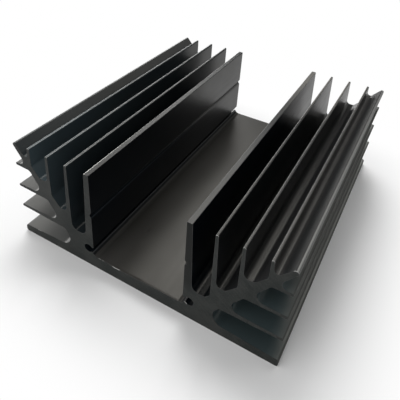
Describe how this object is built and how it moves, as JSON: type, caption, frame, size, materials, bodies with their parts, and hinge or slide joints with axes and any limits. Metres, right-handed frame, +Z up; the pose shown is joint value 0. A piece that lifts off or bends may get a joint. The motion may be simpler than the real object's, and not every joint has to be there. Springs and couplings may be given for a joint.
{
  "type": "heat sink",
  "caption": "Flat-based black heat sink cut from a finned extrusion, with upright and level fins on each side of a wide open channel that holds a power device.",
  "frame": {"origin": "middle of the flat underside of the base", "axes": "+X across the section, +Y along the extrusion from the front cut end to the back one, +Z up, away from the base"},
  "size_m": [0.125, 0.142, 0.05],
  "materials": {
    "black_anodised_aluminium": "satin black anodised"
  },
  "bodies": {
    "root": {"heat_sink_extrusion": "black_anodised_aluminium"}
  },
  "joints": []
}
